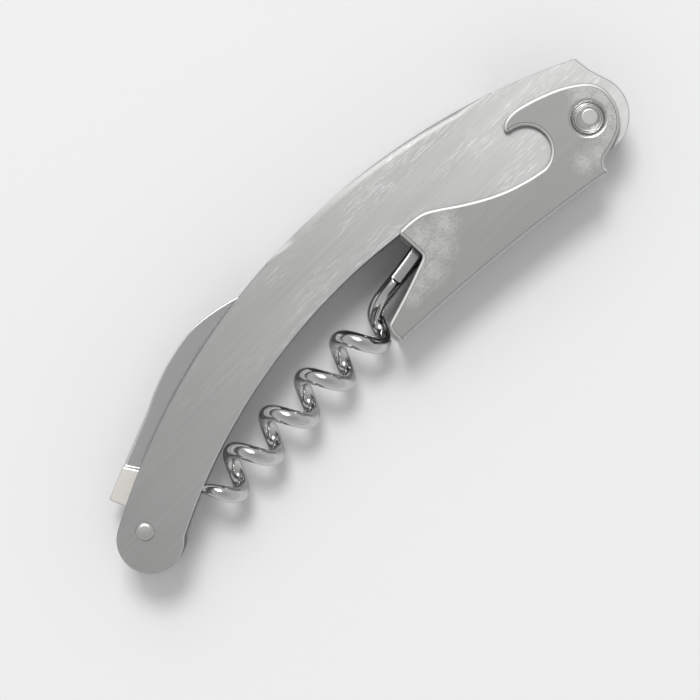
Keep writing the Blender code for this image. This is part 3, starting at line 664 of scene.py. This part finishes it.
heel = np.array((-37.55 + 9.4j, -38.05 + 9.15j, -37.9 + 8.4j, -37.7 + 4.6j, -37.7 + 3.6j, -38.25 + 3.1j))
foot = np.array((-50.6 - 0.95j, -51.0 - 1.75j, -51.2 - 2.6j, -51.2 - 3.35j))
notch = np.array((heel[-1], (heel[-1] + foot[0]) / 2 - 0.15j, foot[0]))
scoop_start = np.degrees(np.angle(hook_back[-1] - SCOOP))
lever_edge = np.concatenate(
    (
        [-4.0 - 8.35j, -3.46 - 7.49j],
        curve(hook_back),
        sweep(SCOOP, SCOOP_RADIUS, scoop_start, -90),
        curve(np.append(upper_run + 1j * upper_rise, heel[0])),
        heel[1:],
        curve(notch)[1:],
        foot[1:],
    )
)
LEVER_EASE = 0.3
LEVER_DRAWN = 0.32
LEVER_FOLD_ROUND = 0.45
inset_turn = np.degrees((LEVER_EASE + LEVER_DRAWN) / BOW_RADIUS)
lever_bearings = bearings_over(LEVER_WEB_ENDS, BOW, BOW_RADIUS) + np.array((-inset_turn, inset_turn))
lever_fold = sweep(BOW, BOW_RADIUS, *lever_bearings, step=1.0)
DISH = [
    (3.55, 0),
    (3.5, 0),
    (3.4, 0.02),
    (3.2, 0.09),
    (3.02, 0.22),
    (2.9, 0.4),
    (2.85, 0.55),
    (2.83, 0.78),
    (2.6, 0.8),
    (2.46, 0.79),
    (2.42, 0.5),
    (1.85, 0.5),
    (1.82, 0.53),
    (1.82, 1.0),
    (1.9, 1.0),
]
lever_steel = steel("satin_lever", (0.46, 0.46, 0.455), (0.56, 0.558, 0.548), 0.28, 0.22, 0.35)


def tumbled(material, spots):
    """A mask of grainy zones with ragged borders: a noise laid over how near the nearest spot is.

    Each spot has its x, its y and how far it reaches.
    """
    tree = material.node_tree
    here = tree.nodes.new("ShaderNodeTexCoord").outputs["Object"]
    near = None
    for x, y, radius in spots:
        away = tree.nodes.new("ShaderNodeVectorMath")
        away.operation = "DISTANCE"
        tree.links.new(here, away.inputs[0])
        away.inputs[1].default_value = place_in_part((x, y, LEVER_FACE))
        closer = spread_to(tree, away.outputs["Value"], 0.0, 1.0, radius / 1000, 0.0)
        near = closer if near is None else combine(tree, "MAXIMUM", near, closer)
    cloud = noise(tree, here, (900, 900, 900), 3, 0.6)
    ragged = combine(tree, "ADD", near, spread_to(tree, cloud, -0.14, 0.14))
    grain = spread_to(tree, noise(tree, here, (2600, 2600, 2600), 3, 0.75), 0.2, 1.0, 0.38, 0.6)
    return combine(tree, "MULTIPLY", spread_to(tree, ragged, 0.0, 0.62, 0.1, 0.85), grain)


spots_by_rivet = [
    (2.6, 4.0, 3.6), (4.6, 1.0, 3.6), (3.6, -3.2, 4.4), (0.4, -5.2, 4.0), (-3.2, -5.8, 3.6), (-6.0, -5.2, 2.8)
]
spots_by_foot = [
    (-35.8, 6.2, 4.6), (-34.8, 2.8, 5.0), (-31.0, 5.0, 4.0),
    (-38.5, 0.6, 4.4), (-41.5, 0.4, 3.2), (-44.4, -0.5, 2.4),
]
lay_over(lever_steel, tumbled(lever_steel, spots_by_rivet + spots_by_foot), (0.57, 0.565, 0.532), 0.42)
lay_over(lever_steel, attribute(lever_steel, "rim"), (0.52, 0.52, 0.51), 0.52)
# Painted shade: a dark line in the fine groove beside the worn edges and along the fold's crease.
lay_over(lever_steel, attribute(lever_steel, "groove"), (0.16, 0.16, 0.158), 0.4)
folded_sheet(
    rounded(lever_edge)[:-1],
    lever_fold,
    LEVER_FACE,
    [(0j, DISH)],
    np.full(len(lever_fold), LEVER_FOLD_ROUND),
    LEVER_EASE,
    LEVER_DRAWN,
    0.045,
    creased=True,
    name="lever",
    body="lever",
    slot="lever_steel",
    material=lever_steel,
    replaces=["lever_channel"],
)


# The worm: hard-drawn stainless wire of 3 mm, wound on a mandrel and ground to a point. Its shank is bent up
# to the pin, pressed flat and drilled there, and the whole is polished.
WIRE_RADIUS = 1.5
COIL_END = -53.9 + 0.5j
COIL_RADIUS = 3.05
COIL_PITCH = 9.2
COIL_TURNS = 4.47
COIL_TILT = np.exp(1j * np.radians(1.3))
COIL_LEAN = 0.2
POINT_RADIUS = 0.55
POINT_TURNS = 0.42
POINT_INSET = 0.7
SHANK_WAY = np.exp(1j * np.radians(6.8))
SHANK_START = -45.4
EYE_FACE = 0.9
EYE_BORE = 1.62
EYE_OUTSIDE = 3.32
SHANK_FLAT = 12.4
SHANK_FLAT_FACE = 1.15
SHOULDER = 0.7
SHANK_STOP = 2.4
SHANK_SWELL = 0.45
SHANK_SQUARENESS = 0.45
TIP_CAP = 0.2
COIL_OVERRUN = 100 / 360
COIL_STEPS = 540
BEND_STEPS = 60
SHANK_STEPS = 110
WIRE_SIDES = 48

turns = np.linspace(-COIL_TURNS, COIL_OVERRUN, COIL_STEPS)
angle = 2 * np.pi * turns
ground = np.clip((turns + COIL_TURNS) / POINT_TURNS, 0, 1)
coil_radius = COIL_RADIUS - POINT_INSET * (1 - ground) ** 2
coil_step = COIL_PITCH * turns - COIL_LEAN * (1 - np.cos(angle)) / 2
coil = COIL_END + COIL_TILT * (coil_step - 1j * coil_radius * np.cos(angle))
coil = np.stack((coil.real, coil.imag, -coil_radius * np.sin(angle)), axis=-1)
coil_wire = POINT_RADIUS + (WIRE_RADIUS - POINT_RADIUS) * np.sin(ground * np.pi / 2)

shank_start = WORM_PIN + SHANK_WAY * (SHANK_START - WORM_PIN.real) / SHANK_WAY.real
shank_start = np.array((shank_start.real, shank_start.imag, 0))
shank_way = np.array((SHANK_WAY.real, SHANK_WAY.imag, 0))
leaving = coil[-1] - coil[-2]
leaving = leaving / np.linalg.norm(leaving)
pull = np.linalg.norm(shank_start - coil[-1])
t = np.linspace(0, 1, BEND_STEPS)[1:, None]
bend = (
    coil[-1] * (2 * t**3 - 3 * t**2 + 1)
    + leaving * pull * (t**3 - 2 * t**2 + t)
    + shank_start * (3 * t**2 - 2 * t**3)
    + shank_way * pull * (t**3 - t**2)
)
eye = np.array((WORM_PIN.real, WORM_PIN.imag, 0))
shank_length = np.linalg.norm(eye - shank_start)
shank = shank_start + shank_way * np.linspace(0, shank_length - SHANK_STOP, SHANK_STEPS)[1:, None]

wire_path = np.concatenate((coil, bend, shank))
wire_way = np.gradient(wire_path, axis=0)
wire_way /= np.linalg.norm(wire_way, axis=1, keepdims=True)
turned_up = np.concatenate((0 * turns, t[:, 0], 1 + 0 * shank[:, 0]))
reference = np.stack((1 - turned_up, 0 * turned_up, turned_up), axis=-1)
across = np.cross(reference, wire_way)
across /= np.linalg.norm(across, axis=1, keepdims=True)
upward = np.cross(wire_way, across)

from_eye = np.concatenate((np.full(len(coil) + len(bend), np.inf), np.linalg.norm(eye - shank, axis=1)))
pressed = np.clip((SHANK_FLAT + SHOULDER - from_eye) / SHOULDER, 0, 1)
pressed = pressed**2 * (3 - 2 * pressed)
to_shoulder = np.clip((from_eye - EYE_OUTSIDE) / (SHANK_FLAT - EYE_OUTSIDE), 0, 1)
wire_radius = np.concatenate((coil_wire, np.full(len(bend) + len(shank), WIRE_RADIUS)))
half_wide = wire_radius + SHANK_SWELL * pressed * (1 - to_shoulder) ** 2
inside_eye = EYE_FACE - 0.05
flat_half = inside_eye + (SHANK_FLAT_FACE - inside_eye) * to_shoulder
half_thick = wire_radius + (flat_half - wire_radius) * pressed
around = 2 * np.pi * np.arange(WIRE_SIDES) / WIRE_SIDES
flatness = 1 - SHANK_SQUARENESS * pressed[:, None]
side = np.sign(np.cos(around)) * np.abs(np.cos(around)) ** flatness * half_wide[:, None]
lift = np.sign(np.sin(around)) * np.abs(np.sin(around)) ** flatness * half_thick[:, None]
skin = wire_path[:, None] + across[:, None] * side[..., None] + upward[:, None] * lift[..., None]
tip = np.repeat(wire_path[:1] - wire_way[:1] * TIP_CAP, WIRE_SIDES, axis=0)
stop = np.repeat(wire_path[-1:], WIRE_SIDES, axis=0)
skin = np.concatenate((tip[None], skin, stop[None]))
run = np.concatenate(([0], np.cumsum(np.linalg.norm(np.diff(wire_path, axis=0), axis=1))))
run = np.concatenate((run[:1], run, run[-1:]))
drawn = np.stack(
    (
        np.repeat(run[:, None], WIRE_SIDES, 1),
        np.tile(WIRE_RADIUS * np.cos(around), (len(run), 1)),
        np.tile(WIRE_RADIUS * np.sin(around), (len(run), 1)),
    ),
    axis=-1,
)

eye_corners = [EYE_BORE - EYE_FACE * 1j, EYE_OUTSIDE - EYE_FACE * 1j, EYE_OUTSIDE + EYE_FACE * 1j]
eye_corners += [EYE_BORE + EYE_FACE * 1j, EYE_BORE - EYE_FACE * 1j]
eye_section = rounded(np.array(eye_corners), step=0.06, spread=0.08)
ring_turn = np.exp(2j * np.pi * np.arange(HOLE_SIDES) / HOLE_SIDES)
eye_places = WORM_PIN + ring_turn[:, None] * eye_section.real
eye_heights = np.tile(eye_section.imag, (HOLE_SIDES, 1))
wire_grid = np.arange(skin[..., 0].size).reshape(skin.shape[:2])
eye_grid = wire_grid.size + np.arange(eye_places.size).reshape(eye_places.shape)
eye_lay = np.stack((eye_places.real, eye_places.imag, eye_heights), axis=-1)
worm_steel = steel("polished_worm", (0.50, 0.50, 0.495), (0.60, 0.60, 0.595), 0.20, 0.10, 0.12, lay="drawn")
solid(
    np.concatenate(((skin[..., 0] + 1j * skin[..., 1]).ravel(), eye_places.ravel())),
    np.concatenate((skin[..., 2].ravel(), eye_heights.ravel())),
    "worm",
    "worm",
    "worm_steel",
    worm_steel,
    ["worm"],
    quads=np.concatenate((patch(wire_grid.T, round_along=True), patch(eye_grid, round_along=True))),
    notes={"drawn": np.concatenate((drawn.reshape(-1, 3), eye_lay.reshape(-1, 3))) / 1000},
)

# The foil knife: a blanked strip of 1.6 mm, ground hollow across the blade on both sides from the back to the
# edge. The tang stays unground and bright where it meets the rivet.
KNIFE_PIN = -106.924 + 3.7j
KNIFE_LENGTH = 45.4
KNIFE_CROWN = 19.7
BOSS_RADIUS = 4.0
KNIFE_HALF = 0.8
KNIFE_BORE = 1.35
KNIFE_RIM = 0.22
HALF_EDGE = 0.15
GRIND_HEIGHT = 11.5
GRIND_WAY = np.exp(1j * np.radians(16.5))
GRIND_HEEL = KNIFE_PIN + 9.9 + 3.0j
GRIND_SLANT = 0.3
GRIND_FADE = 0.6
SPINE_RIM = 0.5
SPINE_HIGH = 4
SPINE_END = -84
SPINE_FADE = 22
BLADE_STEPS = 190
BLADE_RUNGS = 37
back = np.array(
    [
        1.0 + 0.736j,
        0.965 + 0.825j,
        0.915 + 0.898j,
        0.850 + 0.945j,
        0.764 + 0.985j,
        0.676 + 1.0j,
        0.586 + 0.970j,
        0.498 + 0.919j,
        0.407 + 0.843j,
        0.319 + 0.751j,
        0.229 + 0.670j,
        0.141 + 0.588j,
        0.051 + 0.506j,
        0.004 + 0.459j,
    ]
)
tang = np.array([-0.014 + 0.448j, -0.022 + 0.428j, -0.018 + 0.405j, 0.002 + 0.294j, -0.010 + 0.240j])
cut = np.array(
    [
        0.110 + 0.020j,
        0.150 + 0.103j,
        0.262 + 0.183j,
        0.482 + 0.330j,
        0.703 + 0.467j,
        0.890 + 0.596j,
        0.965 + 0.670j,
    ]
)


def on_blade(shares):
    """Places on the blade, from shares of its length and of its crown's height over the rivet."""
    return KNIFE_PIN + KNIFE_LENGTH * shares.real + 1j * KNIFE_CROWN * shares.imag


def to_boss(place):
    """The angle in degrees at the rivet, from a place to where a straight line from it touches the boss."""
    return np.degrees(np.arccos(BOSS_RADIUS / abs(place - KNIFE_PIN)))


tang_foot = on_blade(tang)[-1]
edge_heel = on_blade(cut)[0]
boss_start = bearing(tang_foot, KNIFE_PIN) + to_boss(tang_foot)
boss_end = bearing(edge_heel, KNIFE_PIN) - to_boss(edge_heel) + 360
boss = sweep(KNIFE_PIN, BOSS_RADIUS, boss_start, boss_end)
lower_line = np.concatenate((on_blade(tang)[3:], boss, curve(on_blade(np.append(cut, back[0])))))
upper_line = np.concatenate((on_blade(tang)[:4][::-1], curve(on_blade(back))[::-1]))
knife_outline = rounded(np.concatenate((lower_line, upper_line[::-1][1:])), step=0.25, spread=0.2)


def over_grind(places):
    """How far along the grind and how high over the cutting edge the places lie."""
    along = (places - GRIND_HEEL) / GRIND_WAY
    return along.real, along.imag


tip = np.argmax(knife_outline.real)
ahead, high = over_grind(knife_outline)
plunge_heel = np.argmin(np.abs(knife_outline - GRIND_HEEL))
plunge_top = tip + np.argmax((ahead + GRIND_SLANT * high)[tip:] < 0)
cut_side = evenly(knife_outline[plunge_heel : tip + 1], BLADE_STEPS)
back_side = evenly(knife_outline[tip : plunge_top + 1], BLADE_STEPS)
tang_side = np.concatenate((knife_outline[plunge_top:], knife_outline[: plunge_heel + 1]))
knife_loop = np.concatenate((cut_side[:-1], back_side[:-1], tang_side[:-1]))


def ground_away(places):
    """How far the grind has taken over, from 0 to 1, and the half thickness that it leaves."""
    ahead, high = over_grind(places)
    taken = np.clip((ahead + GRIND_SLANT * high) / GRIND_FADE, 0, 1)
    taken = taken**2 * (3 - 2 * taken)
    hollow = np.clip(high / GRIND_HEIGHT, 0, 1) ** 2
    return taken, KNIFE_HALF - (KNIFE_HALF - HALF_EDGE) * (1 - hollow) * taken


knife_out = out_of(knife_loop, closed=True)
rim_half = ground_away(knife_loop)[1]
ahead, high = over_grind(knife_loop)
spine = np.clip((high - SPINE_HIGH) / 2, 0, 1) * np.clip(ahead + GRIND_SLANT * high, 0, 1)
spine *= np.clip((SPINE_END - knife_loop.real) / SPINE_FADE, 0, 1)
rim_width = np.minimum(KNIFE_RIM + SPINE_RIM * spine, 0.9 * rim_half)
knife_in = knife_loop - rim_width * knife_out
rim_taken, rim_half = ground_away(knife_in)
lower_in = knife_in[:BLADE_STEPS]
upper_in = knife_in[BLADE_STEPS - 1 : 2 * BLADE_STEPS - 1][::-1]
upper_in[-1] = lower_in[-1]
rung = np.linspace(0, 1, BLADE_RUNGS)
blade = lower_in[:, None] * (1 - rung) + upper_in[:, None] * rung
blade_taken, blade_half = ground_away(blade)
quarter = np.radians(np.linspace(0, 90, EDGE_STEPS))
rim_out = np.concatenate((np.sin(quarter), np.sin(quarter)[::-1]))
rim_places = knife_in[:, None] + (knife_loop - knife_in)[:, None] * rim_out
rim_low = rim_half[:, None] - rim_width[:, None] * (1 - np.cos(quarter))
rim_heights = np.concatenate((rim_low, -rim_low[:, ::-1]), axis=1)
knife_hole = KNIFE_PIN + KNIFE_BORE * ring_turn

front = np.arange(blade.size).reshape(blade.shape)
behind = front + blade.size
rim = 2 * blade.size + np.arange(rim_places.size).reshape(rim_places.shape)
hole_front = 2 * blade.size + rim_places.size + np.arange(HOLE_SIDES)
hole_behind = hole_front + HOLE_SIDES
faces = [patch(front), patch(behind), patch(rim, round_along=True)]
faces.append(patch(np.stack((hole_front, hole_behind), axis=1), round_along=True))
rings = []
tang_first = 2 * (BLADE_STEPS - 1)
spot = np.concatenate((knife_in[tang_first:], blade[0, :-1]))
for sheet, column, hole in ((front, 0, hole_front), (behind, -1, hole_behind)):
    border = np.concatenate((rim[tang_first:, column], sheet[0, :-1]))
    rings += round_hole(border, spot, hole, KNIFE_PIN, turned=6)

knife_steel = steel("ground_knife", (0.60, 0.60, 0.595), (0.70, 0.70, 0.695), 0.22, 0.16, 0.5, turn=-106.5)
tang_left = spread_to(knife_steel.node_tree, attribute(knife_steel, "ground"), 1.0, 0.0, 0.0, 0.6)
lay_over(knife_steel, tang_left, (0.68, 0.66, 0.625), 0.45)
# Painted shade: the slope where the grind starts is darkened to damp the lamp's glint on it.
lay_over(knife_steel, attribute(knife_steel, "plunge"), (0.32, 0.32, 0.31), 0.5)
lay_over(knife_steel, attribute(knife_steel, "rim"), (0.62, 0.62, 0.61), 0.45)
bored = np.zeros(2 * HOLE_SIDES)
bored_heights = np.repeat((KNIFE_HALF, -KNIFE_HALF), HOLE_SIDES)
knife_taken = np.concatenate((np.tile(blade_taken.ravel(), 2), np.repeat(rim_taken, rim_out.size), bored))
solid(
    np.concatenate((blade.ravel(), blade.ravel(), rim_places.ravel(), knife_hole, knife_hole)),
    np.concatenate((blade_half.ravel(), -blade_half.ravel(), rim_heights.ravel(), bored_heights)),
    "knife",
    "knife_blade",
    "knife_steel",
    knife_steel,
    ["knife_blade"],
    quads=np.concatenate(faces),
    rings=rings,
    notes={
        "ground": knife_taken,
        # plunge marks the grind's start, where a dark line of shade is painted over its glint.
        "plunge": 4 * knife_taken * (1 - knife_taken),
        "rim": np.concatenate(
            (np.zeros(2 * blade.size), np.tile((rim_out > 0).astype(float), len(knife_in)), bored)
        ),
    },
)


# The rivets, the worm's pin and the short tubes between the plates: turned stainless wire and tube. The pin
# is closed flush into the handle, and the lever's rivet has stepped, flat-topped heads.
TURNED_EASE = 0.05
HEAD_SEAT = 7.02
HEAD_RISE = 0.6
HEAD_LEAN = 0.3 - 0.1j
TUBE_END = 4.6
TUBE_WALL = 1.2


def turned(name, centre, section, slot, material, replaces, closed=False, lean=0j):
    """A section of radius + 1j * height, its corners eased, spun about the upright line through the centre.

    lean is how far the top has been struck off centre, over what stands clear of the lever's seat.
    """
    line = np.append(section, section[0]) if closed else np.asarray(section)
    line = rounded(line, step=TURNED_EASE, spread=TURNED_EASE)
    if not closed:
        line[0] = 1j * line[0].imag
        line[-1] = 1j * line[-1].imag
    grid = np.arange(HOLE_SIDES * len(line)).reshape(HOLE_SIDES, len(line))
    struck = np.clip((np.abs(line.imag) - HEAD_SEAT) / HEAD_RISE, 0, 1) * lean
    solid(
        (centre + struck + ring_turn[:, None] * line.real).ravel(),
        np.tile(line.imag, HOLE_SIDES),
        "handle",
        name,
        slot,
        material,
        replaces,
        quads=patch(grid, round_along=True),
    )


rivet_steel = steel("bright_rivet", (0.48, 0.48, 0.47), (0.60, 0.60, 0.59), 0.36, 0.27, 0.2)
tube_steel = steel("plain_tube", (0.40, 0.40, 0.39), (0.52, 0.52, 0.51), 0.42, 0.32, 0.3)


def mirrored(section):
    """The section with its mirror image below it."""
    section = np.asarray(section)
    return np.concatenate((np.conj(section)[::-1], section))


lever_head = [1.7 + 6.62j, 2.38 + 6.62j, 2.38 + 6.95j, 2.25 + 7.0j, 2.1 + 6.92j, 2.02 + 6.8j]
lever_head += [1.5 + 7.58j, 1.38 + 7.65j, 7.65j]
worm_pin_end = [1.5 + 5.1j, 2.1 + 5.72j, 5.76j]
dome = np.radians(np.linspace(0, 90, 8))
knife_dome = 0.9 + 0.75 * np.cos(dome) + 1j * (5.9 + 0.47 * np.sin(dome))
knife_head = np.concatenate(([1.25 + 5.88j, 1.62 + 5.85j], knife_dome, [6.4j]))
for name, node, centre, head, lean in (
    ("lever_rivet_heads", "lever_rivet", 0j, lever_head, HEAD_LEAN),
    ("worm_pin_ends", "worm_pin", WORM_PIN, worm_pin_end, 0j),
    ("knife_rivet_heads", "knife_rivet", KNIFE_PIN, knife_head, 0j),
):
    turned(name, centre, mirrored(head), "rivet_steel", rivet_steel, [node], lean=lean)
for name, node, centre, bore, low, high in (
    ("lever_tube", "lever_spacer", 0j, 1.82, -TUBE_END, TUBE_END),
    ("worm_tube_front", "worm_spacer_front", WORM_PIN, 1.62, 1.1, TUBE_END),
    ("worm_tube_back", "worm_spacer_back", WORM_PIN, 1.62, -TUBE_END, -1.1),
    ("knife_tube_front", "knife_spacer_front", KNIFE_PIN, 1.37, 1.0, TUBE_END),
    ("knife_tube_back", "knife_spacer_back", KNIFE_PIN, 1.37, -TUBE_END, -1.0),
):
    section = [bore + 1j * low, bore + TUBE_WALL + 1j * low, bore + TUBE_WALL + 1j * high, bore + 1j * high]
    turned(name, centre, section, "spacer_steel", tube_steel, [node], closed=True)
